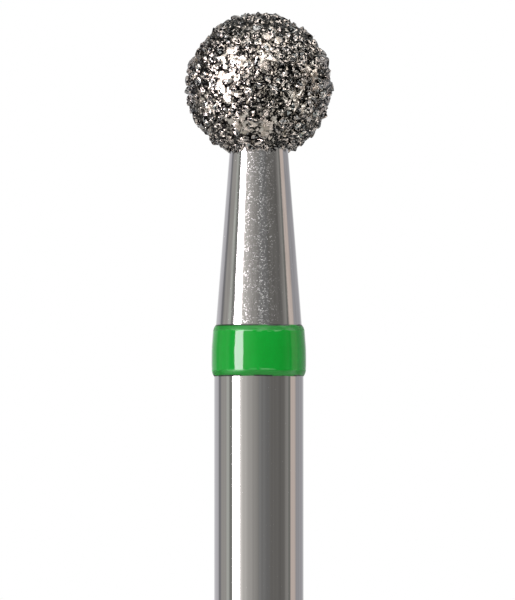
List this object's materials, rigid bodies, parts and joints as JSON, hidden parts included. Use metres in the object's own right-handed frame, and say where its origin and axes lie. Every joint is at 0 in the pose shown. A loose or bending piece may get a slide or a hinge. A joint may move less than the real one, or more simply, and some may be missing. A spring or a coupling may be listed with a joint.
{
  "type": "dental bur",
  "caption": "Friction-grip dental bur: a slim straight steel shank, a tapered neck and a round head coated with diamond crystals, with a green band that marks the grit.",
  "frame": {"origin": "centre of the flat face at the shank's free end", "axes": "+Z along the bur's axis from the shank's end to the head; the bur is round, so X and Y are free"},
  "size_m": [0.0026, 0.0026, 0.019],
  "materials": {
    "steel": "stainless steel, polished on the shank and satin on the neck",
    "nickel": "plated nickel, bright grey and a little warm, worn round the crystals",
    "diamond": "grey, glassy, sharp-edged diamond crystals",
    "enamel": "glossy green enamel"
  },
  "bodies": {
    "root": {"steel_blank": "steel", "nickel_bond": "nickel", "diamond_grit": "diamond", "colour_band": "enamel"}
  },
  "joints": []
}
